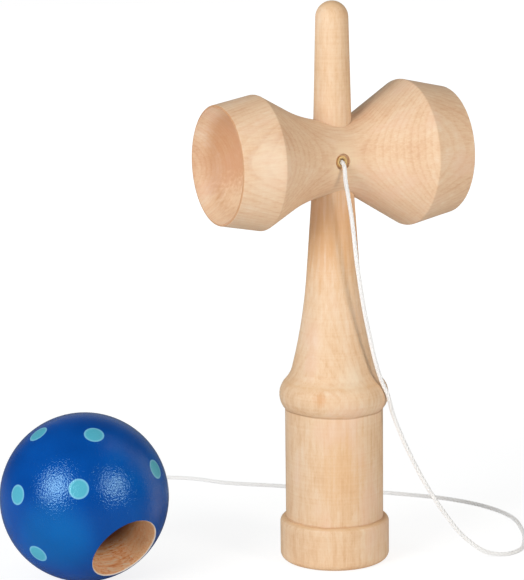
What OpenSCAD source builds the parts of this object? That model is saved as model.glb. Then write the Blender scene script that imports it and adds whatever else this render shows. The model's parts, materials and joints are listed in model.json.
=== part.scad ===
// Cup and ball toy: a turned handle with a spike, a cross cup on its taper, and a ball on a string.
// The handle stands on the table at z = 0 with its axis on Z, and the cross cup lies along X.

/* [Handle] */
// Height from the table to the tip of the spike
handle_h = 180; // [175:1:190]
// Diameter of the flange at the foot
base_d = 35.2; // [33:0.1:38]
// Height of the flange
base_h = 14.2; // [8:0.1:20]
// Rounding of the flange's lower edge
base_edge_r = 2.5; // [1:0.1:3]
// Diameter of the grip
grip_d = 31.5; // [30:0.1:33]
// Diameter of the collar's bead at its widest
collar_d = 35.1; // [33:0.1:35.4]
// Height of the bead's widest line
collar_z = 54.6; // [52:0.1:58]
// Radius of the bead's curve
collar_round = 6.8; // [6:0.1:9]
// Radius of the hollow that leads from the bead into the flare
collar_fillet = 10; // [8:0.5:20]
// Height at which the straight neck starts to flare out
flare_z = 94; // [88:0.5:97]
// Diameter of the neck at that height
flare_d = 17; // [16:0.1:18]
// Radius of the hollow curve from the neck to the bead
flare_round = 174; // [150:1:200]
// Diameter at the lower end of the tapered seat
seat_d = 13.8; // [13.6:0.1:15]
// Diameter at the upper end of the tapered seat
spike_d = 11.9; // [11:0.1:12.5]
// Radius of the spike's round tip
tip_r = 5.2; // [4.5:0.1:5.4]
// Height of the spike's tip above the cross cup's axis
spike_h = 49.2; // [45:0.1:55]
// How far the seat runs on past the waist of the cross cup, above and below
seat_run = 2; // [1:0.5:4]

/* [Base cup] */
// Diameter of the cup's mouth in the foot
base_cup_d = 28; // [24:0.5:30]
// Radius of the cup's hollow
base_cup_r = 16; // [15.5:0.5:20]

/* [Cross cup] */
// Diameter of the waist
waist_d = 23.6; // [22.5:0.1:26]
// Width of the rounded lip round both mouths
lip_w = 1.1; // [0.6:0.1:1.4]
// Rounding of both ridges
ridge_round = 1; // [0.6:0.1:3]
// Gap between the tapered bore and the handle's seat
seat_gap = 0.05; // [0.02:0.01:0.1]

/* [Small cup] */
// Distance from the handle's axis to the rim
small_rim_x = 40.4; // [38:0.1:44]
// Outer diameter at the rim
small_rim_d = 37.6; // [36:0.1:39]
// Distance from the handle's axis to the ridge
small_ridge_x = 26.9; // [25:0.1:28]
// Diameter of the ridge, before it is rounded
small_ridge_d = 42.5; // [41:0.1:45]
// Radius of the hollow curve beside the waist
small_waist_round = 37; // [30:0.5:38]
// Radius of the bowl
small_bowl_r = 20; // [19:0.5:24]

/* [Big cup] */
// Distance from the handle's axis to the rim
big_rim_x = 40.2; // [38:0.1:44]
// Outer diameter at the rim
big_rim_d = 41; // [39:0.1:43]
// Distance from the handle's axis to the ridge
big_ridge_x = 25.5; // [24:0.1:28]
// Diameter of the ridge, before it is rounded
big_ridge_d = 46.9; // [45:0.1:50]
// Radius of the hollow curve beside the waist
big_waist_round = 20.7; // [15:0.1:26]
// Radius of the bowl
big_bowl_r = 22; // [20.5:0.5:26]

/* [String hole and eyelet] */
// Place of the string hole along the cross cup, from the handle's axis
hole_x = -2.7; // [-3:0.1:3]
// Diameter of the recess that the eyelet sits in
recess_d = 5.2; // [4.6:0.1:6]
// Depth of the recess below the waist's front line
recess_h = 1.2; // [1:0.1:2]
// Inner diameter of the eyelet
eyelet_bore_d = 2; // [1.8:0.1:2.2]
// Wall of the eyelet's tube
eyelet_wall = 0.35; // [0.25:0.05:0.5]
// Thickness of the eyelet's rolled rim
eyelet_roll = 0.9; // [0.6:0.05:1]
// Length of the eyelet's tube
eyelet_h = 3.2; // [2:0.1:3.6]
// Gap between the eyelet and its hole
eyelet_gap = 0.02; // [0.01:0.01:0.05]
// Diameter of the string's hole through the handle
handle_hole_d = 2.4; // [2:0.1:2.8]

/* [Ball] */
// Diameter of the ball
ball_d = 53.2; // [50:0.1:56]
// Place of the ball's centre to the side of the handle
ball_x = -79.9; // [-90:0.1:-70]
// Place of the ball's centre behind the handle
ball_y = 17.7; // [10:0.1:25]
// Direction of the wide bore, round the vertical
bore_turn = -76.5; // [-90:0.5:-60]
// Direction of the wide bore, above the level
bore_tilt = -31; // [-33:0.5:-27]
// Diameter of the wide bore
bore_d = 22.4; // [20:0.1:25]
// Depth of the wide bore from its mouth
bore_h = 38; // [34:0.5:40]
// Width of the bare chamfer round the bore's mouth
mouth_w = 0.6; // [0.3:0.1:1]
// Diameter of the string's hole through the ball
ball_hole_d = 2.6; // [2.2:0.1:3.2]
// Diameter of the bead inside the ball
bead_d = 7; // [6:0.1:9]
// Height of the bead between its flat ends
bead_h = 5.6; // [4.5:0.1:5.8]
// Diameter of the hole through the bead
bead_bore_d = 2; // [1.8:0.1:2.4]
// Gap between the bead and the floor of the bore
bead_gap = 0.1; // [0.05:0.05:0.3]

/* [String] */
// Diameter of the string
string_d = 1.5; // [1.2:0.1:1.6]
// Diameter of the two knots
knot_d = 3.6; // [3:0.1:4]
// Diameter of a knot's flat end, where the string enters it
knot_face_d = 1.8; // [1.7:0.1:2]
// Gap round the knot in the handle's pocket
knot_gap = 0.4; // [0.2:0.1:0.6]
// Gap between the free string and its stretches in the handle and the ball
string_gap = 0.05; // [0.03:0.01:0.1]
// Sides of the string's tube
string_sides = 8; // [6:1:12]
// Rings of the tube between two points of its route
rings_per_point = 2; // [1:1:3]

/* [Hidden] */
$fn = 96;

wood = "#ebcfa6";
cord_white = "#f4f4f2";

base_r = base_d / 2;
grip_r = grip_d / 2;
collar_r = collar_d / 2;
flare_r = flare_d / 2;
seat_r = seat_d / 2;
spike_r = spike_d / 2;
waist_r = waist_d / 2;
lip_r = lip_w / 2;
// The shoulder of the flange is a quarter round from the flange in to the grip
shoulder_r = base_r - grip_r;

cup_z = handle_h - spike_h;
seat_bottom_z = cup_z - waist_r - seat_run;
seat_top_z = cup_z + waist_r + seat_run;
seat_slope = (seat_r - spike_r) / (seat_top_z - seat_bottom_z);
neck_lean = atan((flare_r - seat_r) / (seat_bottom_z - flare_z));
flare_centre = [flare_r, flare_z] + flare_round * [cos(neck_lean), sin(neck_lean)];
bead_centre = [collar_r - collar_round, collar_z];
// The hollow between them touches the bead from outside and the flare from inside
fillet_centre = crossing(bead_centre, collar_round + collar_fillet,
                         flare_centre, flare_round - collar_fillet);
fillet_bottom = bead_centre + collar_round * unit(fillet_centre - bead_centre);
fillet_top = flare_centre + flare_round * unit(fillet_centre - flare_centre);
tip_z = handle_h - tip_r;
tip_lean = atan((spike_r - tip_r) / (tip_z - seat_top_z));
// A cut runs this far past the faces that it goes through
over = 1;
// A round runs this far past the lines that it joins, so that they meet in clean edges
blend = 0.005;
// The bowl's curve runs this far into the round of the lip
lip_cut = lip_r / 4;

recess_y = waist_r - recess_h;
eyelet_r = eyelet_bore_d / 2 + eyelet_wall;
// The stretch of string in the handle ends inside the eyelet's rolled rim
inner_y = recess_y - eyelet_roll / 2;
// Distance from a knot's centre to its flat end
knot_flat = sqrt(knot_d * knot_d - knot_face_d * knot_face_d) / 2;
knot_y = seat_r - knot_d;

ball_r = ball_d / 2;
bore_r = bore_d / 2;
mouth_z = sqrt(ball_r * ball_r - bore_r * bore_r);
bore_floor = mouth_z - bore_h;
bead_z = bore_floor + bead_gap;
bead_top = bead_z + bead_h;
// The stretch of string in the ball stands out of its hole by this much
string_out = 0.2;
bore_way = [cos(bore_tilt) * cos(bore_turn), cos(bore_tilt) * sin(bore_turn), sin(bore_tilt)];

// Ends of the free string, in the eyelet and at the ball's hole
eyelet_end = [hole_x, -inner_y - string_gap, cup_z];
ball_end = [ball_x, ball_y, ball_r] - bore_way * (ball_r + string_out + string_gap);

// Route of the free string: out of the eyelet, down past the collar, round on the table, up behind the ball
// and over into its hole
by_eyelet = [[0, 0, 0], [0, -1.5, -0.4], [-0.05, -2.6, -1.5], [-0.1, -3, -3.1], [0.1, -3.05, -5.8],
             [0.85, -3.1, -9.8], [1.75, -3.4, -15.8], [3.9, -3.8, -34]];
// Angle round the handle, distance from the collar and height above the collar's widest line
by_collar = [[-71.5, -2.5, 22.4], [-55.7, -0.5, 5.7], [-50.3, 1, 0.7], [-47.2, 1.9, -4.3]];
on_table = [[17.5, -15.3, 39], [22.5, -17.1, 28], [28.5, -19.8, 17], [36, -23.2, 6.7], [42, -25.8, 2.2],
            [48, -27, 1], [55, -25, 0.85], [62, -17, 0.8], [69, -4.5, 0.8], [74, 10, 0.8], [73, 25, 0.8],
            [67, 39, 0.8], [56, 52.5, 0.8], [38, 69.5, 0.8], [20, 86, 0.8], [7, 97.5, 0.8], [-1, 108.5, 0.8],
            [-12, 116, 0.8], [-32, 114, 0.8], [-55, 99, 0.8], [-73, 78, 0.85]];
behind_ball = [[1.9, 20, 1.1], [-1.2, 11.2, 2.1], [-1.6, 6.4, 7]];
over_ball = [[-1.6, 6.1, -6], [-1.6, 6.1, -3.7], [-1.5, 5.5, -1.7], [-1.1, 4, 0], [-0.55, 2.1, 0.55],
             [0, 0, 0]];
route = concat(
    [for (p = by_eyelet) eyelet_end + p],
    [for (p = by_collar) let (r = collar_r + p[1]) [r * cos(p[0]), r * sin(p[0]), collar_z + p[2]]],
    on_table,
    [for (p = behind_ball) [ball_end[0], ball_end[1], 0] + p],
    [for (p = over_ball) ball_end + p]);
last_point = len(route) - 1;

function unit(v) = v / norm(v);

// Upper point where the circle round a meets the circle round b to its right
function crossing(a, ra, b, rb) =
    let (way = unit(b - a), d = norm(b - a), along = (ra * ra - rb * rb + d * d) / (2 * d))
    a + along * way + sqrt(ra * ra - along * along) * [-way[1], way[0]];

// Point where the line from p touches the circle round c, on the side of the larger angle
function touch(c, r, p) =
    let (v = p - c, turn = atan2(v[1], v[0]) + acos(r / norm(v)))
    c + r * [cos(turn), sin(turn)];

// Distance from a corner to where its rounding starts, for corner p between a and b
function corner_angle(p, a, b) = acos(unit(a - p) * unit(b - p));
function round_start(p, a, b, r) = p + unit(a - p) * r / tan(corner_angle(p, a, b) / 2);
function round_centre(p, a, b, r) =
    p + unit(unit(a - p) + unit(b - p)) * r / sin(corner_angle(p, a, b) / 2);

// Slope of the route at point i: straight through the eyelet and the ball's hole at its ends, and weighted
// by the distances to the neighbours between them
function route_step(i) = norm(route[i + 1] - route[i]);
function route_slope(i) =
    i == 0 ? [0, -1, 0] :
    i == last_point ? bore_way :
    let (a = route_step(i - 1), b = route_step(i))
    ((route[i] - route[i - 1]) * b / a + (route[i + 1] - route[i]) * a / b) / (a + b);
function route_point(i, t) =
    let (d = route_step(i), t2 = t * t, t3 = t2 * t)
    route[i] * (2 * t3 - 3 * t2 + 1) + route[i + 1] * (3 * t2 - 2 * t3)
    + (route_slope(i) * (t3 - 2 * t2 + t) + route_slope(i + 1) * (t3 - t2)) * d;
string_path = [for (i = [0 : last_point - 1], k = [0 : rings_per_point - 1])
                   route_point(i, k / rings_per_point),
               route[last_point]];
path_end = len(string_path) - 1;
// Direction of the tube at each ring, which is square to what it meets at both ends
function path_way(i) =
    i == 0 ? route_slope(0) :
    i == path_end ? route_slope(last_point) :
    unit(string_path[i + 1] - string_path[i - 1]);
// Sideways direction of each ring, carried along so that the tube doesn't twist
function carried(side, way) = unit(side - way * (side * way));
string_sideways = [for (i = 0, s = carried([1, 0, 0], path_way(0)); i <= path_end;
                        i = i + 1, s = i <= path_end ? carried(s, path_way(i)) : s) s];

// Outline of the handle, from its axis out, for turning
module handle_outline() {
    difference() {
        intersection() {
            square(handle_h);
            union() {
                translate([0, base_edge_r])
                    square([base_r, base_h - shoulder_r - base_edge_r]);
                square([base_r - base_edge_r, base_h - shoulder_r]);
                translate([base_r - base_edge_r, base_edge_r])
                    circle(base_edge_r);
                translate([grip_r, base_h - shoulder_r])
                    circle(shoulder_r);
                translate([0, base_edge_r])
                    square([grip_r, collar_z - base_edge_r]);
                translate(bead_centre)
                    circle(collar_round);
                difference() {
                    polygon([[0, collar_z], bead_centre, fillet_bottom, fillet_top, [0, fillet_top[1]]]);
                    translate(fillet_centre)
                        circle(collar_fillet + 2 * blend);
                }
                difference() {
                    polygon([[0, collar_z], [collar_r, collar_z], [flare_r, flare_z],
                             [seat_r, seat_bottom_z], [0, seat_bottom_z]]);
                    translate(flare_centre)
                        circle(flare_round + blend);
                }
                polygon([[0, seat_bottom_z], [seat_r, seat_bottom_z], [spike_r, seat_top_z],
                         [tip_r * cos(tip_lean), tip_z + tip_r * sin(tip_lean)], [0, tip_z]]);
                translate([0, tip_z])
                    circle(tip_r);
            }
        }
        translate([0, -sqrt(base_cup_r * base_cup_r - base_cup_d * base_cup_d / 4)])
            circle(base_cup_r);
    }
}

module handle() {
    color(wood)
    difference() {
        rotate_extrude()
            handle_outline();
        translate([hole_x, 0, cup_z])
            rotate([90, 0, 0])
                cylinder(d = handle_hole_d, h = seat_d + 2 * over, center = true);
        translate([hole_x, knot_y - knot_flat - knot_gap, cup_z])
            rotate([-90, 0, 0])
                cylinder(d = knot_d + 2 * knot_gap, h = seat_d);
    }
}

// Outline of one end of the cross cup, from the waist to its rim
module cup_outline(rim_x, rim_r, ridge_x, ridge_r, waist_round, bowl_r) {
    hollow = [waist_r + waist_round, 0];
    ridge = [ridge_r, ridge_x];
    rim = [rim_r, rim_x - lip_r];
    flank = touch(hollow, waist_round, ridge);
    mouth_r = rim_r - lip_w + lip_cut;
    difference() {
        union() {
            polygon([[0, 0], [waist_r, 0], flank, round_start(ridge, flank, rim, ridge_round),
                     round_start(ridge, rim, flank, ridge_round), rim, [0, rim[1]]]);
            translate(round_centre(ridge, flank, rim, ridge_round))
                circle(ridge_round + blend);
            translate(rim - [lip_r, 0])
                circle(lip_r);
        }
        translate(hollow)
            circle(waist_round + blend);
        translate([0, rim[1] + sqrt(bowl_r * bowl_r - mouth_r * mouth_r)])
            circle(bowl_r);
    }
}

module cross_cup() {
    color(wood)
    translate([0, 0, cup_z])
    difference() {
        rotate([0, 90, 0])
            rotate_extrude() {
                cup_outline(big_rim_x, big_rim_d / 2, big_ridge_x, big_ridge_d / 2,
                            big_waist_round, big_bowl_r);
                mirror([0, 1])
                    cup_outline(small_rim_x, small_rim_d / 2, small_ridge_x, small_ridge_d / 2,
                                small_waist_round, small_bowl_r);
            }
        translate([0, 0, -waist_r - seat_run])
            cylinder(r1 = seat_r + seat_gap, r2 = spike_r + seat_gap, h = 2 * (waist_r + seat_run));
        translate([hole_x, 0, 0])
            rotate([90, 0, 0]) {
                cylinder(r = eyelet_r + eyelet_gap, h = waist_r + over);
                translate([0, 0, recess_y])
                    cylinder(d = recess_d, h = recess_h + over);
            }
    }
}

module string_eyelet() {
    color("#c9a24a")
    translate([hole_x, -recess_y, cup_z])
        rotate([90, 0, 0])
            rotate_extrude() {
                translate([eyelet_bore_d / 2, -eyelet_h])
                    square([eyelet_wall, eyelet_h + eyelet_roll / 2 + eyelet_gap]);
                translate([(eyelet_bore_d + eyelet_roll) / 2 - blend, eyelet_roll / 2 + eyelet_gap])
                    circle(d = eyelet_roll);
            }
}

// Stretch of string from the eyelet through the seat to the knot
module string_in_handle() {
    color(cord_white)
    translate([hole_x, knot_y - knot_flat, cup_z])
        rotate([90, 0, 0])
            cylinder(d = string_d, h = knot_y - knot_flat + inner_y);
}

// Round knot with a flat where the string enters it, at z = 0
module knot() {
    intersection() {
        translate([0, 0, knot_flat])
            sphere(d = knot_d);
        translate([-knot_d / 2, -knot_d / 2, 0])
            cube(2 * knot_d);
    }
}

module handle_knot() {
    color(cord_white)
    translate([hole_x, knot_y - knot_flat, cup_z])
        rotate([-90, 0, 0])
            knot();
}

module string() {
    rings = [for (i = [0 : path_end]) let (s = string_sideways[i], u = cross(path_way(i), s))
             for (k = [0 : string_sides - 1]) let (a = 360 * k / string_sides)
             string_path[i] + (s * cos(a) + u * sin(a)) * string_d / 2];
    sides = [for (i = [0 : path_end - 1], k = [0 : string_sides - 1])
             let (a = i * string_sides + k, b = i * string_sides + (k + 1) % string_sides)
             each [[a, a + string_sides, b], [b, a + string_sides, b + string_sides]]];
    start_cap = [for (k = [0 : string_sides - 1]) k];
    end_cap = [for (k = [string_sides - 1 : -1 : 0]) path_end * string_sides + k];
    color(cord_white)
    polyhedron(points = rings, faces = concat(sides, [start_cap, end_cap]));
}

// Places a piece in the ball, with its z axis out along the wide bore
module in_ball() {
    translate([ball_x, ball_y, ball_r])
        rotate([0, 90 - bore_tilt, bore_turn])
            children();
}

module ball() {
    color("#1f55ad")
    in_ball()
        difference() {
            sphere(d = ball_d);
            translate([0, 0, bore_floor])
                cylinder(d = bore_d, h = ball_d);
            translate([0, 0, mouth_z - 2 * mouth_w])
                cylinder(r1 = bore_r - mouth_w, r2 = bore_r + 2 * mouth_w, h = 3 * mouth_w);
            translate([0, 0, -ball_d])
                cylinder(d = ball_hole_d, h = ball_d);
        }
}

module ball_bead() {
    color("#d9b98a")
    in_ball()
        translate([0, 0, bead_z])
            difference() {
                intersection() {
                    translate([0, 0, bead_h / 2])
                        sphere(d = bead_d);
                    translate([-bead_d / 2, -bead_d / 2, 0])
                        cube([bead_d, bead_d, bead_h]);
                }
                translate([0, 0, -over])
                    cylinder(d = bead_bore_d, h = bead_h + 2 * over);
            }
}

// Stretch of string from the outside of the ball through the bead to the knot
module string_in_ball() {
    color(cord_white)
    in_ball()
        translate([0, 0, -ball_r - string_out])
            cylinder(d = string_d, h = ball_r + string_out + bead_top);
}

module ball_knot() {
    color(cord_white)
    in_ball()
        translate([0, 0, bead_top])
            knot();
}

handle();
cross_cup();
string_eyelet();
string_in_handle();
handle_knot();
string();
ball();
ball_bead();
string_in_ball();
ball_knot();
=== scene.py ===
import json
import math

import bmesh
import bpy
from mathutils import Matrix, Vector


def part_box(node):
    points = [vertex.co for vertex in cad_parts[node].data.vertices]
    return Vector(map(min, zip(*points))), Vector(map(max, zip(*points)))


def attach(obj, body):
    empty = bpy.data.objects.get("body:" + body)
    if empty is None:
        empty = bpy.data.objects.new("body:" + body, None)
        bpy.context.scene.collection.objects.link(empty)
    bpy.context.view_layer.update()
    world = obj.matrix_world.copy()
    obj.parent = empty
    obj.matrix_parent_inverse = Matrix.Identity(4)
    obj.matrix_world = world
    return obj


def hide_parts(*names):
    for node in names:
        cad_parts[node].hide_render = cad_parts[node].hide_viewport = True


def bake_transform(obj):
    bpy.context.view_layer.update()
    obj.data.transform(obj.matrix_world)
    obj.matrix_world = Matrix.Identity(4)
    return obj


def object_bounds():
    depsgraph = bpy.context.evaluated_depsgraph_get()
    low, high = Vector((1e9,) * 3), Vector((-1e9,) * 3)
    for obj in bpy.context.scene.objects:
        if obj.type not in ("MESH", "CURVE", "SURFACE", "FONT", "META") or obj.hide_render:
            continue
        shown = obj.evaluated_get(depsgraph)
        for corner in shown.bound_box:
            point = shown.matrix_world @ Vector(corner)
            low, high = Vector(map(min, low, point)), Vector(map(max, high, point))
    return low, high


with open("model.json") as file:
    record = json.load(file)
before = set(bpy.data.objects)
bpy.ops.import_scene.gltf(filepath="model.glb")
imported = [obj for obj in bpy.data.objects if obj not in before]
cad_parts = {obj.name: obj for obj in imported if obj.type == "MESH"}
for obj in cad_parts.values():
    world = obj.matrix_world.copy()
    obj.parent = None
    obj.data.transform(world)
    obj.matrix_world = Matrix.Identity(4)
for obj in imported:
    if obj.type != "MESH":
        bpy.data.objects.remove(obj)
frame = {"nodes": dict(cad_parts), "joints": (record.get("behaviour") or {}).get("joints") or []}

mm = 0.001
toMm = (1000, 1000, 1000)
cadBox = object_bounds()
joints = {joint["name"]: joint for joint in frame["joints"]}
eyeletPoint = Vector(joints["ball_swing"]["pos_m"])
ballCentre = Vector(joints["ball_spin"]["pos_m"])
boreWay = Vector(joints["ball_spin"]["axis"]).normalized()
ballRadius = (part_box("ball")[1].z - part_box("ball")[0].z) / 2
scene = bpy.context.scene
scene.view_settings.view_transform = "Standard"
print("frame loaded")


# camera: the photograph's frame is 524 x 580, and its long side takes the whole sensor
camera = {
    "place": (-347.1, -643.0, 223.2),  # mm
    "target": (-20.3, 10.2, 88.5),  # mm
    "roll": -0.65,  # degrees
    "focalPixels": 2331.0,
    "longSide": 580,
    "sensor": 36.0,  # mm
}


def makeCamera():
    lens = bpy.data.cameras.new("camera")
    lens.sensor_width = camera["sensor"]
    lens.lens = camera["focalPixels"] / camera["longSide"] * camera["sensor"]
    body = bpy.data.objects.new("camera", lens)
    scene.collection.objects.link(body)
    place = Vector(camera["place"]) * mm
    way = Vector(camera["target"]) * mm - place
    roll = Matrix.Rotation(math.radians(camera["roll"]), 4, "Z")
    aim = way.to_track_quat("-Z", "Y").to_matrix().to_4x4()
    body.matrix_world = Matrix.Translation(place) @ aim @ roll
    scene.camera = body


makeCamera()
print("camera set")


# string: white cotton, eight strands braided over a core; the route's points are the solid's, in mm
string = {
    "diameter": 1.5,
    "length": 489,
    "strands": 4,  # in each direction
    "strandRadius": 0.24,
    "weave": 0.09,  # how far a strand rises over the ones that it crosses
    "coreRadius": 0.5,
    "pitch": 6.0,
    "stepsPerTurn": 16,
    "route": [
        (-2.7, -10.2, 130.8), (-2.7, -11.7, 130.4), (-2.75, -12.8, 129.3), (-2.8, -13.2, 127.7),
        (-2.6, -13.25, 125), (-1.85, -13.3, 121), (-0.95, -13.6, 115), (1.2, -14, 96.8),
        (4.78, -14.27, 77), (9.61, -14.08, 60.3), (11.85, -14.27, 55.3), (13.22, -14.27, 50.3),
        (17.5, -15.3, 39), (22.5, -17.1, 28), (28.5, -19.8, 17), (36, -23.2, 6.7), (42, -25.8, 2.2),
        (48, -27, 1), (55, -25, 0.85), (62, -17, 0.8), (69, -4.5, 0.8), (74, 10, 0.8), (73, 25, 0.8),
        (67, 39, 0.8), (56, 52.5, 0.8), (38, 69.5, 0.8), (20, 86, 0.8), (7, 97.5, 0.8), (-1, 108.5, 0.8),
        (-12, 116, 0.8), (-32, 114, 0.8), (-55, 99, 0.8), (-73, 78, 0.85), (-83.37, 60.08, 1.1),
        (-86.47, 51.28, 2.1), (-86.87, 46.48, 7), (-86.87, 46.18, 34.43), (-86.87, 46.18, 36.73),
        (-86.77, 45.58, 38.73), (-86.37, 44.08, 40.43), (-85.82, 42.18, 40.98), (-85.27, 40.08, 40.43),
    ],
    "outOfEyelet": (0, -1, 0),
}
# the string's ends: a knot in the handle's seat and one on the bead in the ball, all in mm
knots = {
    "size": 0.5,  # half the width of the knot's inner turns
    "height": 0.8,
    "thinner": 0.72,  # the pulled knot squeezes the string to this share of its width
    "turns": 90,  # points round the knot
    "tail": 3.0,
    "tailSteps": 8,
    "tailRise": 0.8,  # how much of the tail runs on along the string, beside its own way
    "handleTail": (0.5, 0, 0.4), "ballTail": (0.6, 0.2, 0),
    "handleKnotY": 3.3,
    "liftStart": 6.3,  # from the handle's axis, where the string leaves the seat when the cup comes off
    "liftRun": 0.3,
    "fineStep": 0.01,
    "fineRoom": 0.1,  # the fine steps begin and end this far outside the bend
    "coarseStep": 0.4,
    "endGap": 0.05,  # to the start of the free string
    "ballKnotAt": -6.6,  # along the bore from the ball's centre
    "ballStringOut": 0.2,
}


# a smooth curve through all the points, in steps of about the given length
def smoothRoute(points, startWay, endWay, step):
    points = [Vector(p) for p in points]
    gaps = [(b - a).length for a, b in zip(points, points[1:])]
    slopes = [Vector(startWay)]
    for i in range(1, len(points) - 1):
        a, b = gaps[i - 1], gaps[i]
        before, after = points[i] - points[i - 1], points[i + 1] - points[i]
        slopes.append((before * b / a + after * a / b) / (a + b))
    slopes.append(Vector(endWay))
    path = []
    for i, gap in enumerate(gaps):
        count = max(1, round(gap / step))
        for k in range(count):
            t = k / count
            path.append(points[i] * (2 * t**3 - 3 * t**2 + 1) + points[i + 1] * (3 * t**2 - 2 * t**3)
                        + (slopes[i] * (t**3 - 2 * t**2 + t) + slopes[i + 1] * (t**3 - t**2)) * gap)
    return path + [points[-1]]


def addSpline(curve, points, width, closed=False):
    spline = curve.splines.new("POLY")
    spline.points.add(len(points) - 1)
    for point, place in zip(spline.points, points):
        point.co = (*(place * mm), 1)
        point.radius = width
    spline.use_cyclic_u = closed
    spline.use_smooth = True


# each strand winds round the path and rises over every second strand of the other direction
def addBraid(curve, path, thin=1.0, closed=False):
    ways = [(b - a).normalized() for a, b in zip(path[:-1], path[1:])]
    ways.append(ways[0] if closed else ways[-1])
    side = ways[0].orthogonal().normalized()
    sides, run = [], [0.0]
    for i, way in enumerate(ways):
        side = (side - way * side.dot(way)).normalized()
        sides.append(side)
        if i:
            run.append(run[-1] + (path[i] - path[i - 1]).length)
    turns = run[-1] / (string["pitch"] * thin)
    if closed:
        turns = round(turns)
    middle = string["diameter"] / 2 - string["strandRadius"] - string["weave"]
    for way in (1, -1):
        for k in range(string["strands"]):
            points = []
            for i, place in enumerate(path):
                turn = 2 * math.pi * turns * run[i] / run[-1]
                around = way * turn + k * 2 * math.pi / string["strands"]
                out = (middle + way * string["weave"] * math.cos(string["strands"] * turn)) * thin
                up = ways[i].cross(sides[i])
                points.append(place + (sides[i] * math.cos(around) + up * math.sin(around)) * out)
            addSpline(curve, points[:-1] if closed else points, thin, closed)
    core = path[:-1:2] if closed else path[::2] + path[-1:]
    addSpline(curve, core, thin * string["coreRadius"] / string["strandRadius"], closed)


def newCord(name):
    curve = bpy.data.curves.new(name, "CURVE")
    curve.dimensions = "3D"
    curve.bevel_depth = string["strandRadius"] * mm
    curve.bevel_resolution = 1
    curve.use_fill_caps = True
    return curve


def cordToMesh(curve):
    made = bpy.data.objects.new(curve.name, curve)
    scene.collection.objects.link(made)
    mesh = bpy.data.meshes.new_from_object(made.evaluated_get(bpy.context.evaluated_depsgraph_get()))
    bpy.data.objects.remove(made)
    piece = bpy.data.objects.new(curve.name, mesh)
    scene.collection.objects.link(piece)
    mesh.shade_smooth()
    return piece


# an overhand knot pulled tight, as a closed trefoil round the string's line
def addKnot(curve, centre, way, tailWay):
    turn = way.to_track_quat("Z", "Y").to_matrix()
    loop = []
    for i in range(knots["turns"] + 1):
        a = 2 * math.pi * i / knots["turns"]
        loop.append(centre + turn @ Vector((
            knots["size"] * (math.sin(a) + 2 * math.sin(2 * a)),
            knots["size"] * (math.cos(a) - 2 * math.cos(2 * a)),
            -knots["height"] * math.sin(3 * a))))
    addBraid(curve, loop, knots["thinner"], closed=True)
    tail = []
    for i in range(knots["tailSteps"] + 1):
        t = i / knots["tailSteps"]
        tail.append(centre + (way * knots["tailRise"] + tailWay * t) * knots["tail"] * t)
    addBraid(curve, tail, knots["thinner"])


def makeFreeString():
    step = string["pitch"] / string["stepsPerTurn"]
    path = smoothRoute(string["route"], string["outOfEyelet"], boreWay, step)
    curve = newCord("free_string")
    addBraid(curve, path)
    piece = cordToMesh(curve)
    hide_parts("string")
    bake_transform(piece)
    return piece


# its rings are fine where it leaves the seat, so that it can run up the spike when the cup comes off
def makeHandleString():
    x, z = eyeletPoint.x / mm, eyeletPoint.z / mm
    knotY = knots["handleKnotY"]
    room = string["diameter"] / 2 + knots["fineRoom"]
    fineFrom = knots["liftStart"] - room
    fineTo = knots["liftStart"] + room + knots["liftRun"] * math.sqrt(2)
    reach = -string["route"][0][1]
    path, y = [], -knotY
    while y < reach:
        path.append(Vector((x, -y, z)))
        y += knots["fineStep"] if fineFrom < y < fineTo else knots["coarseStep"]
    path.append(Vector((x, -reach + knots["endGap"], z)))
    curve = newCord("handle_string")
    addBraid(curve, path)
    addKnot(curve, Vector((x, knotY, z)), Vector((0, 1, 0)), Vector(knots["handleTail"]))
    piece = cordToMesh(curve)
    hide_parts("string_in_handle", "handle_knot")
    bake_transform(piece)
    return piece


def makeBallString():
    centre = ballCentre / mm
    knot = centre + boreWay * knots["ballKnotAt"]
    outside = centre - boreWay * (ballRadius / mm + knots["ballStringOut"])
    count = round((knot - outside).length / knots["coarseStep"])
    path = [outside.lerp(knot, i / count) for i in range(count + 1)]
    curve = newCord("ball_string")
    addBraid(curve, path)
    addKnot(curve, knot, boreWay, Vector(knots["ballTail"]))
    piece = cordToMesh(curve)
    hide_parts("string_in_ball", "ball_knot")
    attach(piece, "string_end")
    return piece


stringPieces = [makeFreeString(), makeHandleString(), makeBallString()]
print("string braided:", [len(piece.data.polygons) for piece in stringPieces], "faces")


def linear(hexColour):
    channels = [int(hexColour[i:i + 2], 16) / 255 for i in (1, 3, 5)]
    return (*[c / 12.92 if c < 0.04045 else ((c + 0.055) / 1.055) ** 2.4 for c in channels], 1)


# adds a node, sets its properties, fills its inputs with values or outputs, and gives its first output
def addNode(tree, kind, inputs=(), **settings):
    node = tree.nodes.new(kind)
    for name, value in settings.items():
        setattr(node, name, value)
    for name, value in dict(inputs).items():
        if isinstance(value, bpy.types.NodeSocket):
            tree.links.new(value, node.inputs[name])
        else:
            node.inputs[name].default_value = value
    return next((socket for socket in node.outputs if socket.enabled), None)


def newMaterial(name):
    material = bpy.data.materials.new(name)
    material.use_nodes = True
    material.node_tree.nodes.clear()
    return material, material.node_tree


def paint(piece, material):
    piece.data.materials.clear()
    piece.data.materials.append(material)


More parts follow.
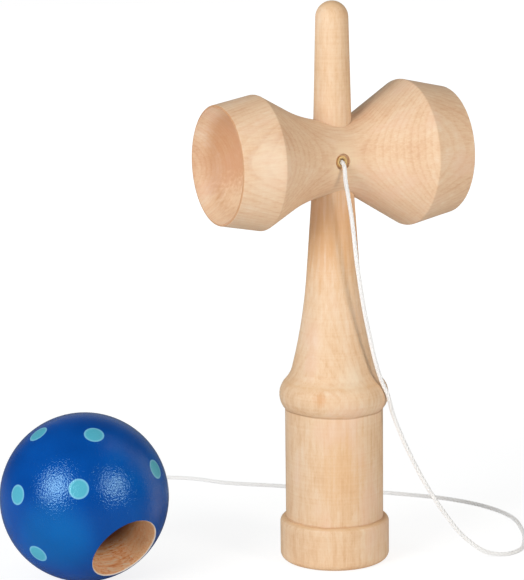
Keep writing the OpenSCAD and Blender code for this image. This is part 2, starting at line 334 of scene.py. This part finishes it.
# sanded beech, turned on a lathe: pale and even, with faint year rings, short fibres, soft pinkish
# patches, fine tool lines round the axis and a darker end grain; sizes in mm, across and along the grain
wood = {
    "noises": {  # size, detail and roughness
        "band": ((6.0, 6.0, 6.0), 2.0, 0.6),
        "streak": ((1.3, 1.3, 30.0), 2.0, 0.55),
        "fibre": ((0.45, 0.45, 7.0), 2.0, 0.6),
        "fleck": ((0.5, 0.5, 2.2), 1.0, 0.5),
        "cloud": ((13.0, 13.0, 24.0), 2.0, 0.5),
        "mottle": ((1.8, 1.8, 4.5), 4.0, 0.75),
        "toolLine": ((0.9, 0.9, 0.9), 2.0, 0.6),
    },
    # a year's slow rise to the late wood and its quick fall: from, to, start and end
    "year": ((0.42, 0.86, 0.0, 1.0), (0.9, 1.0, 1.0, 0.0)),
    "middleTone": 0.55,
    "fleckFrom": 0.6, "fleckTo": 0.72,
    "pinkFrom": 0.52, "pinkTo": 0.68, "pinkShare": 0.4,
    "endFrom": 0.5, "endTo": 0.72, "endShare": 0.6,  # by how squarely the surface cuts the fibres
    "ragged": 1.2,  # how much the streaks break up a blush
    "blushFrom": 0.6, "blushTo": 1.6,
    "wobble": 1.5,  # mm that a painted corner shade wanders up and down
    "relief": {"fibre": 0.6, "toolLine": 1.0},
    "ringRelief": -0.2,
    "reliefStrength": 0.35,
    "reliefDepth": 0.06,
    "roughness": 0.5,
    "roughnessSpread": 0.25,
    "ior": 1.5,
    "specular": 0.3,
}
handleWood = {
    "name": "beech_handle",
    "shift": (0, 0, 0),
    "turn": (0, 0, 0),
    "heart": (58, 40, 0),
    "warp": (3.0, (26, 26, 95)),
    "ringSpacing": 1.5,  # a slow-grown ring is finer, drawn so that it still shows
    "dark": "#d9a87a", "mid": "#ecc8a2", "pale": "#f6e0c8", "pink": "#ecbc9c", "end": "#e6bd90",
    "tones": {"band": 0.6, "streak": 0.2, "fibre": 0.35, "cloud": 0.9, "mottle": 0.75, "toolLine": 0.38},
    "ringTone": 0.1,
    "fleckTone": 0.1,
    # places of a deeper or paler colour: centre, reach, colour and share
    "blushes": [((-11.7, -12.8, 56.1), (2.5, 4.0, 4.0), "#dc9a5e", 0.6),
                ((-1.0, -14.5, 62.0), (7.0, 5.0, 8.0), "#f6e2c6", 0.6),
                ((0, 0, 108), (30, 30, 22), "#e2ab75", 0.75),
                ((-4, -16, 33), (12, 12, 20), "#e8b682", 0.5)],
    # dark lines painted in the corners under the collar and above the foot, for the shade there: height,
    # half width, colour and share
    "cornerShades": [(50.0, 0.4, "#a8744c", 0.6), (14.3, 0.3, "#b9875c", 0.35)],
}
cupWood = {
    "name": "beech_cross_cup",
    "shift": (130.8, 0, 0),
    "turn": (0, -90, 0),
    "heart": (14, 78, 0),
    "warp": (3.0, (24, 24, 60)),
    "ringSpacing": 1.05,
    # its end grain is drawn darker than the handle's: partly the wood's own colour, partly painted shade
    # inside the bowls
    "dark": "#dba882", "mid": "#ecc8a4", "pale": "#f6e0c8", "pink": "#eaba9a", "end": "#bd7c48",
    "tones": {"band": 1.1, "streak": 0.3, "fibre": 0.5, "cloud": 0.9, "mottle": 0.5, "toolLine": 0.2},
    "ringTone": 0.13,
    "fleckTone": 0.08,
    # round the eyelet, a pale patch that takes the end-grain colour off its recess and partly paints light
    # into the recess's shade; on the band of the small cup; and low in its bowl, painted light where the
    # bowl's lower wall faces the lamps
    "blushes": [((0, -11.2, -2.7), (8, 8, 8), "#f3d6b2", 0.9),
                ((-2, -17, -31), (14, 10, 10), "#f8e4ca", 0.65),
                ((13, 2, -31), (12, 18, 12), "#f4dab8", 0.65)],
    "cornerShades": [],
}


def addWood(tree, spec):
    place = addNode(tree, "ShaderNodeTexCoord").node.outputs
    turn = [math.radians(a) for a in spec["turn"]]
    grain = addNode(tree, "ShaderNodeMapping", {
        "Vector": place["Object"], "Scale": toMm, "Rotation": turn, "Location": spec["shift"]})

    # distance from the tree's heart, bent by the growth
    across = addNode(tree, "ShaderNodeVectorMath", {0: grain, 1: (1, 1, 0)}, operation="MULTIPLY")
    depth = addNode(tree, "ShaderNodeVectorMath", {0: across, 1: spec["heart"]}, operation="DISTANCE")
    rise, size = spec["warp"]
    bent = addNode(tree, "ShaderNodeVectorMath", {0: grain, 1: size}, operation="DIVIDE")
    growth = addNode(tree, "ShaderNodeTexNoise", {"Vector": bent, "Scale": 1.0, "Detail": 1.5})
    depth = addNode(tree, "ShaderNodeMath", {0: growth, 1: rise, 2: depth}, operation="MULTIPLY_ADD")
    year = addNode(tree, "ShaderNodeMath", {0: depth, 1: spec["ringSpacing"]}, operation="DIVIDE")
    year = addNode(tree, "ShaderNodeMath", {0: year}, operation="FRACT")
    ring = 1.0
    for low, high, start, end in wood["year"]:
        side = addNode(tree, "ShaderNodeMapRange", {
            "Value": year, "From Min": low, "From Max": high, "To Min": start, "To Max": end},
            interpolation_type="SMOOTHSTEP")
        ring = addNode(tree, "ShaderNodeMath", {0: side, 1: ring}, operation="MULTIPLY")

    along = addNode(tree, "ShaderNodeVectorMath", {0: grain, 1: (0, 0, 1)}, operation="MULTIPLY")
    places = {"band": addNode(tree, "ShaderNodeCombineXYZ", {"X": depth}), "toolLine": along}
    noises = {}
    for name, (size, detail, roughness) in wood["noises"].items():
        scaled = addNode(tree, "ShaderNodeVectorMath", {
            0: places.get(name, grain), 1: size}, operation="DIVIDE")
        noises[name] = addNode(tree, "ShaderNodeTexNoise", {
            "Vector": scaled, "Scale": 1.0, "Detail": detail, "Roughness": roughness})
    fleck = addNode(tree, "ShaderNodeMapRange", {
        "Value": noises["fleck"], "From Min": wood["fleckFrom"], "From Max": wood["fleckTo"]},
        interpolation_type="SMOOTHSTEP")

    # the tone runs from 0, dark, to 1, pale
    tone = wood["middleTone"] - sum(spec["tones"].values()) / 2
    for name, amount in spec["tones"].items():
        tone = addNode(tree, "ShaderNodeMath", {
            0: noises[name], 1: amount, 2: tone}, operation="MULTIPLY_ADD")
    for mask, amount in ((ring, spec["ringTone"]), (fleck, spec["fleckTone"])):
        tone = addNode(tree, "ShaderNodeMath", {0: mask, 1: -amount, 2: tone}, operation="MULTIPLY_ADD")
    colour = addNode(tree, "ShaderNodeValToRGB", {"Fac": tone})
    stops = colour.node.color_ramp.elements
    stops[0].position, stops[0].color = 0.0, linear(spec["dark"])
    stops[1].position, stops[1].color = 1.0, linear(spec["pale"])
    stops.new(0.5).color = linear(spec["mid"])

    # pinkish patches, end grain where the surface cuts across the fibres, and single blushes, some of them
    # painted light
    pink = addNode(tree, "ShaderNodeMapRange", {
        "Value": noises["cloud"], "From Min": wood["pinkFrom"], "From Max": wood["pinkTo"],
        "To Max": wood["pinkShare"]}, interpolation_type="SMOOTHSTEP")
    facing = addNode(tree, "ShaderNodeMapping", {"Vector": place["Normal"], "Rotation": turn})
    facing = addNode(tree, "ShaderNodeSeparateXYZ", {0: facing}).node.outputs["Z"]
    facing = addNode(tree, "ShaderNodeMath", {0: facing}, operation="ABSOLUTE")
    endGrain = addNode(tree, "ShaderNodeMapRange", {
        "Value": facing, "From Min": wood["endFrom"], "From Max": wood["endTo"],
        "To Max": wood["endShare"]}, interpolation_type="SMOOTHSTEP")
    layers = [(pink, spec["pink"]), (endGrain, spec["end"])]
    for centre, reach, hexColour, share in spec["blushes"]:
        away = addNode(tree, "ShaderNodeVectorMath", {0: grain, 1: centre}, operation="SUBTRACT")
        away = addNode(tree, "ShaderNodeVectorMath", {0: away, 1: reach}, operation="DIVIDE")
        away = addNode(tree, "ShaderNodeVectorMath", {0: away}, operation="LENGTH")
        ragged = addNode(tree, "ShaderNodeMath", {
            0: noises["streak"], 1: wood["ragged"], 2: away}, operation="MULTIPLY_ADD")
        blush = addNode(tree, "ShaderNodeMapRange", {
            "Value": ragged, "From Min": wood["blushFrom"], "From Max": wood["blushTo"],
            "To Min": share, "To Max": 0.0}, interpolation_type="SMOOTHSTEP")
        layers.append((blush, hexColour))
    height = addNode(tree, "ShaderNodeSeparateXYZ", {0: grain}).node.outputs["Z"]
    for level, width, hexColour, share in spec["cornerShades"]:
        off = addNode(tree, "ShaderNodeMath", {
            0: noises["cloud"], 1: wood["wobble"], 2: height}, operation="MULTIPLY_ADD")
        middle = level + wood["wobble"] / 2
        off = addNode(tree, "ShaderNodeMath", {0: off, 1: middle}, operation="SUBTRACT")
        off = addNode(tree, "ShaderNodeMath", {0: off}, operation="ABSOLUTE")
        cornerShade = addNode(tree, "ShaderNodeMapRange", {
            "Value": off, "From Max": width, "To Min": share, "To Max": 0.0})
        layers.append((cornerShade, hexColour))
    for mask, hexColour in layers:
        colour = addNode(tree, "ShaderNodeMix", {"Factor": mask, "A": colour, "B": linear(hexColour)},
                         data_type="RGBA")

    relief = addNode(tree, "ShaderNodeMath", {0: ring, 1: wood["ringRelief"]}, operation="MULTIPLY")
    for name, amount in wood["relief"].items():
        relief = addNode(tree, "ShaderNodeMath", {
            0: noises[name], 1: amount, 2: relief}, operation="MULTIPLY_ADD")
    bump = addNode(tree, "ShaderNodeBump", {
        "Height": relief, "Strength": wood["reliefStrength"], "Distance": wood["reliefDepth"] * mm})
    spread = wood["roughnessSpread"]
    roughness = addNode(tree, "ShaderNodeMath", {
        0: noises["fibre"], 1: spread, 2: wood["roughness"] - spread / 2}, operation="MULTIPLY_ADD")
    return colour, roughness, bump


def makeWood(spec):
    material, tree = newMaterial(spec["name"])
    colour, roughness, bump = addWood(tree, spec)
    shader = addNode(tree, "ShaderNodeBsdfPrincipled", {
        "Base Color": colour, "Roughness": roughness, "Normal": bump,
        "IOR": wood["ior"], "Specular IOR Level": wood["specular"]})
    addNode(tree, "ShaderNodeOutputMaterial", {"Surface": shader})
    return material


paint(frame["nodes"]["handle"], makeWood(handleWood))
paint(frame["nodes"]["cross_cup"], makeWood(cupWood))
print("wood done")


# ball: sprayed blue lacquer, glossy, with a fine orange peel that breaks up its highlights, painted
# turquoise dots with paler rims, painted light low on one side, and bare wood in its bore, drawn paler for
# painted light and darker deep inside for painted shade; angles in degrees of the ball
ball = {
    "blue": "#0550a9", "deepBlue": "#04499e", "lightBlue": "#065ab3",
    "cloudScale": 0.045,  # per mm, of the clouds where the spray lies thicker and thinner
    "cloudFrom": 0.35, "cloudTo": 0.65,
    "thin": "#0472b4",  # painted light: a greener, paler blue low on one side, where light from the floor falls on the ball
    "paintedLightWay": (-0.67, -0.69, -0.25), "paintedLightFrom": 0.82, "paintedLightShare": 0.4,
    "gloss": "#b8f0ff",  # the lacquer takes some of the red out of its reflections
    "dot": "#58b7ce", "dotRim": "#82c9e6",
    "dotRadius": 6.73, "dotEdge": 0.25,
    "dotRimWidth": 0.9, "dotRimEdge": 0.75,
    # three rows that aren't quite even: angle from the bore's way and angle round it
    "dots": [(62.6, 57.9), (64.0, 131.4), (63.6, 198.9), (64.0, 271.0), (62.5, 343.0),
             (93.2, 99.7), (94.5, 168.3), (95.0, 240.0), (94.0, 312.0), (93.0, 27.0),
             (123.6, 130.0), (124.0, 202.0), (124.0, 274.0), (124.0, 346.0), (123.5, 58.0)],
    "lacquer": 0.06,  # mm; deeper than this the wood is bare
    "primerFrom": 23.6,  # mm along the bore, the chamfer round the bore's mouth shows the pale primer
    "primer": "#e6ddd0",
    "boreShadeFrom": 17.5, "boreShadeTo": 10.0,  # mm along the bore, from where painted shade deep in the bore begins to where it is full
    "boreShade": "#5c2c10", "boreShadeShare": 0.85,
    "peel": 0.5, "peelDepth": 0.14,  # mm, drawn deeper than it is so that it shows
    "roughness": 0.1,
    "ior": 1.5,
    "specular": 0.92,
}
# the bore's wood is drawn paler and more orange than the handle's beech: painted light for the little
# light that reaches into the bore
boreWood = {
    "name": "bare_beech",
    "shift": tuple(-c / mm for c in ballCentre),
    "turn": (0, -90, 20),
    "heart": (30, 25, 0),
    "warp": (3.0, (20, 20, 60)),
    "ringSpacing": 1.5,
    "dark": "#e8925c", "mid": "#ffca98", "pale": "#ffeed8", "pink": "#fcbe94", "end": "#fccf9f",
    "tones": {"band": 0.6, "streak": 0.7, "fibre": 1.4, "cloud": 0.5, "mottle": 1.4, "toolLine": 0.3},
    "ringTone": 0.2,
    "fleckTone": 0.8,
    "blushes": [], "cornerShades": [],
}
beadWood = dict(boreWood, name="beech_bead", mid="#d8ab7c", pale="#e6c499", turn=(0, 0, 0))


def dotPlaces():
    sideways = Vector((0, 0, 1)).cross(boreWay).normalized()
    upward = boreWay.cross(sideways)
    for dot in ball["dots"]:
        tilt, turn = (math.radians(a) for a in dot)
        around = sideways * math.cos(turn) + upward * math.sin(turn)
        yield boreWay * math.cos(tilt) + around * math.sin(tilt)


def makeBallLacquer():
    material, tree = newMaterial("blue_lacquer")
    woodColour, woodRoughness, woodBump = addWood(tree, boreWood)
    place = addNode(tree, "ShaderNodeTexCoord").node.outputs["Object"]
    fromCentre = addNode(tree, "ShaderNodeMapping", {
        "Vector": place, "Scale": toMm, "Location": boreWood["shift"]})
    outward = addNode(tree, "ShaderNodeVectorMath", {0: fromCentre}, operation="NORMALIZE")
    depth = addNode(tree, "ShaderNodeVectorMath", {0: fromCentre}, operation="LENGTH")

    nearest = -1.0
    for centre in dotPlaces():
        toDot = addNode(tree, "ShaderNodeVectorMath", {0: outward, 1: centre}, operation="DOT_PRODUCT")
        nearest = addNode(tree, "ShaderNodeMath", {0: toDot, 1: nearest}, operation="MAXIMUM")
    angle = addNode(tree, "ShaderNodeMath", {0: nearest}, operation="ARCCOSINE")
    angle = addNode(tree, "ShaderNodeMath", {0: angle}, operation="DEGREES")
    edge, rimEdge = ball["dotEdge"], ball["dotRimEdge"]
    rim = ball["dotRadius"] - ball["dotRimWidth"]
    isDot = addNode(tree, "ShaderNodeMapRange", {
        "Value": angle, "From Min": ball["dotRadius"] - edge, "From Max": ball["dotRadius"] + edge,
        "To Min": 1.0, "To Max": 0.0})
    isRim = addNode(tree, "ShaderNodeMapRange", {
        "Value": angle, "From Min": rim - rimEdge, "From Max": rim + rimEdge})
    clouds = addNode(tree, "ShaderNodeTexNoise", {
        "Vector": fromCentre, "Scale": ball["cloudScale"], "Detail": 2.0})
    blues = addNode(tree, "ShaderNodeValToRGB", {"Fac": clouds})
    stops = blues.node.color_ramp.elements
    stops[0].position, stops[0].color = ball["cloudFrom"], linear(ball["deepBlue"])
    stops[1].position, stops[1].color = ball["cloudTo"], linear(ball["lightBlue"])
    stops.new(0.5).color = linear(ball["blue"])
    # painted light from the floor, low on one side of the ball
    toPaintedLight = addNode(tree, "ShaderNodeVectorMath", {
        0: outward, 1: ball["paintedLightWay"]}, operation="DOT_PRODUCT")
    isPaintedLight = addNode(tree, "ShaderNodeMapRange", {
        "Value": toPaintedLight, "From Min": ball["paintedLightFrom"], "To Max": ball["paintedLightShare"]},
        interpolation_type="SMOOTHSTEP")
    blues = addNode(tree, "ShaderNodeMix", {
        "Factor": isPaintedLight, "A": blues, "B": linear(ball["thin"])}, data_type="RGBA")
    dotColour = addNode(tree, "ShaderNodeMix", {
        "Factor": isRim, "A": linear(ball["dot"]), "B": linear(ball["dotRim"])}, data_type="RGBA")
    paintColour = addNode(tree, "ShaderNodeMix", {
        "Factor": isDot, "A": blues, "B": dotColour}, data_type="RGBA")

    peel = addNode(tree, "ShaderNodeTexNoise", {
        "Vector": fromCentre, "Scale": 1 / ball["peel"], "Detail": 2.0, "Roughness": 0.5})
    paintBump = addNode(tree, "ShaderNodeBump", {
        "Height": peel, "Strength": 1.0, "Distance": ball["peelDepth"] * mm})
    lacquer = addNode(tree, "ShaderNodeBsdfPrincipled", {
        "Base Color": paintColour, "Roughness": ball["roughness"], "Normal": paintBump, "IOR": ball["ior"],
        "Specular IOR Level": ball["specular"], "Specular Tint": linear(ball["gloss"])})

    # the chamfer shows the primer, and shade is painted dark deep in the bore
    axial = addNode(tree, "ShaderNodeVectorMath", {0: fromCentre, 1: boreWay}, operation="DOT_PRODUCT")
    isPrimer = addNode(tree, "ShaderNodeMath", {
        0: axial, 1: ball["primerFrom"]}, operation="GREATER_THAN")
    isBoreShade = addNode(tree, "ShaderNodeMapRange", {
        "Value": axial, "From Min": ball["boreShadeTo"], "From Max": ball["boreShadeFrom"],
        "To Min": ball["boreShadeShare"], "To Max": 0.0}, interpolation_type="SMOOTHSTEP")
    bareColour = woodColour
    for mask, hexColour in ((isBoreShade, ball["boreShade"]), (isPrimer, ball["primer"])):
        bareColour = addNode(tree, "ShaderNodeMix", {
            "Factor": mask, "A": bareColour, "B": linear(hexColour)}, data_type="RGBA")
    bare = addNode(tree, "ShaderNodeBsdfPrincipled", {
        "Base Color": bareColour, "Roughness": woodRoughness, "Normal": woodBump,
        "IOR": wood["ior"], "Specular IOR Level": wood["specular"]})
    bareFrom = ballRadius / mm - ball["lacquer"]
    isPaint = addNode(tree, "ShaderNodeMath", {0: depth, 1: bareFrom}, operation="GREATER_THAN")
    both = addNode(tree, "ShaderNodeMixShader", {0: isPaint, 1: bare, 2: lacquer})
    addNode(tree, "ShaderNodeOutputMaterial", {"Surface": both})
    return material


paint(frame["nodes"]["ball"], makeBallLacquer())
paint(frame["nodes"]["ball_bead"], makeWood(beadWood))
print("ball done")


# drawn brass, rolled over at its rim and left unpolished: pale yellow metal with a dull sheen
brass = {
    "colour": "#ffe4ac", "worn": "#f8cc80",
    "grain": 0.5,  # mm
    "metal": 0.6,
    "roughness": 0.5, "roughnessSpread": 0.3,
}


def makeBrass():
    material, tree = newMaterial("drawn_brass")
    place = addNode(tree, "ShaderNodeTexCoord").node.outputs["Object"]
    wear = addNode(tree, "ShaderNodeTexNoise", {
        "Vector": place, "Scale": 1 / (brass["grain"] * mm), "Detail": 3.0})
    colour = addNode(tree, "ShaderNodeMix", {
        "Factor": wear, "A": linear(brass["worn"]), "B": linear(brass["colour"])}, data_type="RGBA")
    spread = brass["roughnessSpread"]
    roughness = addNode(tree, "ShaderNodeMath", {
        0: wear, 1: spread, 2: brass["roughness"] - spread / 2}, operation="MULTIPLY_ADD")
    shader = addNode(tree, "ShaderNodeBsdfPrincipled", {
        "Base Color": colour, "Metallic": brass["metal"], "Roughness": roughness})
    addNode(tree, "ShaderNodeOutputMaterial", {"Surface": shader})
    return material


# white braided cotton: matt, slightly fuzzy, a little greyer between its fibres
cotton = {
    "white": "#fefdfc", "shade": "#f2f1f0",
    "fibre": 0.18,  # mm, coarser than the real ones, which don't show
    "relief": 0.3, "reliefDepth": 0.03,
    "roughness": 0.9, "specular": 0.2,
    "fuzz": 0.25, "fuzzRoughness": 0.5,
}


def makeCotton():
    material, tree = newMaterial("braided_cotton")
    place = addNode(tree, "ShaderNodeTexCoord").node.outputs["Object"]
    fibres = addNode(tree, "ShaderNodeTexNoise", {
        "Vector": place, "Scale": 1 / (cotton["fibre"] * mm), "Detail": 2.0})
    colour = addNode(tree, "ShaderNodeMix", {
        "Factor": fibres, "A": linear(cotton["shade"]), "B": linear(cotton["white"])}, data_type="RGBA")
    bump = addNode(tree, "ShaderNodeBump", {
        "Height": fibres, "Strength": cotton["relief"], "Distance": cotton["reliefDepth"] * mm})
    shader = addNode(tree, "ShaderNodeBsdfPrincipled", {
        "Base Color": colour, "Normal": bump,
        "Roughness": cotton["roughness"], "Specular IOR Level": cotton["specular"],
        "Sheen Weight": cotton["fuzz"], "Sheen Roughness": cotton["fuzzRoughness"]})
    addNode(tree, "ShaderNodeOutputMaterial", {"Surface": shader})
    return material


paint(frame["nodes"]["string_eyelet"], makeBrass())
cottonMaterial = makeCotton()
for piece in stringPieces:
    paint(piece, cottonMaterial)
print("brass and cotton done")


# studio: a white paper floor, two oval softboxes in front and weaker light from all sides; sizes in metres
studio = {
    "floorRadius": 3.0, "floorSides": 64,
    "floorColour": "#f0f0f0",
    "toothScale": 900.0,  # per metre, of the paper's grain
    "toothRelief": 0.1,
    "toothDepth": 0.1,  # mm
    # seen by the camera only, so that the paper is white and still takes a shadow: near and far glow
    "floorGlow": (0.82, 0.97),
    "glowFrom": 0.15, "glowTo": 0.7,  # from the handle
    "seenPaper": 0.3,  # the grey that takes the shadow under that glow
    "glossPaper": 0.25,  # the grey that shows in the ball's gloss
    "paperGlow": 0.1,  # a glow of the paper, seen by all but camera and gloss rays: painted light that it throws up on the toy
    "fill": (0.25, 0.63), "fillFrom": -0.3,  # light from all sides, least and most
    "fillColour": "#f6fcff",  # daylight, a little cooler than the lamps
    "fillAzimuth": -112, "fillElevation": 15,  # degrees, where most of it comes from
    "sweepAzimuth": 153.4,  # where the paper sweeps up behind the toy
    "sweep": 0.35, "sweepFrom": 0.8,  # what the gloss shows of it
    "room": 0.02,  # what the gloss shows of the dim room in front
    "lamps": [
        {"name": "softbox_left", "azimuth": -65.6, "elevation": 21, "away": 1.1, "size": (0.5, 0.62),
         "watts": 6.0, "colour": "#ffffff"},
        {"name": "softbox_right", "azimuth": 19.4, "elevation": 21, "away": 1.1, "size": (0.36, 0.46),
         "watts": 3.45, "colour": "#fff8ee"},
    ],
}


def wayTo(azimuth, elevation):
    turn = Matrix.Rotation(math.radians(azimuth), 3, "Z")
    rise = Matrix.Rotation(-math.radians(elevation), 3, "X")
    return turn @ rise @ Vector((0, -1, 0))


def makeFloor():
    mesh = bpy.data.meshes.new("floor")
    bm = bmesh.new()
    bmesh.ops.create_circle(bm, cap_ends=True, segments=studio["floorSides"], radius=studio["floorRadius"])
    bm.to_mesh(mesh)
    bm.free()
    floor = bpy.data.objects.new("floor", mesh)
    scene.collection.objects.link(floor)
    material, tree = newMaterial("white_paper")
    path = addNode(tree, "ShaderNodeLightPath").node.outputs
    place = addNode(tree, "ShaderNodeTexCoord").node.outputs["Object"]
    tooth = addNode(tree, "ShaderNodeTexNoise", {"Vector": place, "Scale": studio["toothScale"]})
    bump = addNode(tree, "ShaderNodeBump", {
        "Height": tooth, "Strength": studio["toothRelief"], "Distance": studio["toothDepth"] * mm})
    seen, shiny = studio["seenPaper"], studio["glossPaper"]
    colours = linear(studio["floorColour"]), (seen, seen, seen, 1), (shiny, shiny, shiny, 1)
    paper, dim, gloss = [addNode(tree, "ShaderNodeBsdfDiffuse", {"Color": colour, "Normal": bump})
                         for colour in colours]
    away = addNode(tree, "ShaderNodeVectorMath", {0: place}, operation="LENGTH")
    level = addNode(tree, "ShaderNodeMapRange", {
        "Value": away, "From Min": studio["glowFrom"], "From Max": studio["glowTo"],
        "To Min": studio["floorGlow"][0], "To Max": studio["floorGlow"][1]})
    glow = addNode(tree, "ShaderNodeEmission", {"Strength": level})
    bright = addNode(tree, "ShaderNodeAddShader", {0: dim, 1: glow})
    paperGlow = addNode(tree, "ShaderNodeEmission", {"Strength": studio["paperGlow"]})
    lit = addNode(tree, "ShaderNodeAddShader", {0: paper, 1: paperGlow})
    surface = addNode(tree, "ShaderNodeMixShader", {0: path["Is Glossy Ray"], 1: lit, 2: gloss})
    surface = addNode(tree, "ShaderNodeMixShader", {0: path["Is Camera Ray"], 1: surface, 2: bright})
    addNode(tree, "ShaderNodeOutputMaterial", {"Surface": surface})
    paint(floor, material)


def makeLamps():
    middle = (cadBox[0] + cadBox[1]) / 2
    for lamp in studio["lamps"]:
        light = bpy.data.lights.new(lamp["name"], "AREA")
        light.shape = "ELLIPSE"
        light.size, light.size_y = lamp["size"]
        light.energy = lamp["watts"]
        light.color = linear(lamp["colour"])[:3]
        holder = bpy.data.objects.new(lamp["name"], light)
        scene.collection.objects.link(holder)
        back = wayTo(lamp["azimuth"], lamp["elevation"])
        holder.matrix_world = (Matrix.Translation(middle + back * lamp["away"])
                               @ (-back).to_track_quat("-Z", "Y").to_matrix().to_4x4())


def makeWorld():
    world = bpy.data.worlds.new("studio")
    scene.world = world
    world.use_nodes = True
    tree = world.node_tree
    tree.nodes.clear()
    path = addNode(tree, "ShaderNodeLightPath").node.outputs
    way = addNode(tree, "ShaderNodeTexCoord").node.outputs["Generated"]
    sweepWay = wayTo(studio["sweepAzimuth"], 0)
    toSweep = addNode(tree, "ShaderNodeVectorMath", {0: way, 1: sweepWay}, operation="DOT_PRODUCT")
    sweep = addNode(tree, "ShaderNodeMapRange", {
        "Value": toSweep, "From Min": studio["sweepFrom"],
        "To Min": studio["room"], "To Max": studio["sweep"]})
    fillWay = wayTo(studio["fillAzimuth"], studio["fillElevation"])
    toFill = addNode(tree, "ShaderNodeVectorMath", {0: way, 1: fillWay}, operation="DOT_PRODUCT")
    fill = addNode(tree, "ShaderNodeMapRange", {
        "Value": toFill, "From Min": studio["fillFrom"],
        "To Min": studio["fill"][0], "To Max": studio["fill"][1]})
    gloss = addNode(tree, "ShaderNodeMath", {0: path["Is Glossy Ray"], 1: path["Is Transmission Ray"]},
                    operation="MAXIMUM")
    shown = addNode(tree, "ShaderNodeMix", {"Factor": gloss, "A": fill, "B": sweep})
    level = addNode(tree, "ShaderNodeMath", {0: shown, 1: path["Is Camera Ray"]}, operation="MAXIMUM")
    colour = addNode(tree, "ShaderNodeMix", {
        "Factor": path["Is Camera Ray"], "A": linear(studio["fillColour"]), "B": (1, 1, 1, 1)},
        data_type="RGBA")
    light = addNode(tree, "ShaderNodeBackground", {"Color": colour, "Strength": level})
    addNode(tree, "ShaderNodeOutputWorld", {"Surface": light})


makeFloor()
makeLamps()
makeWorld()
print("studio lit")
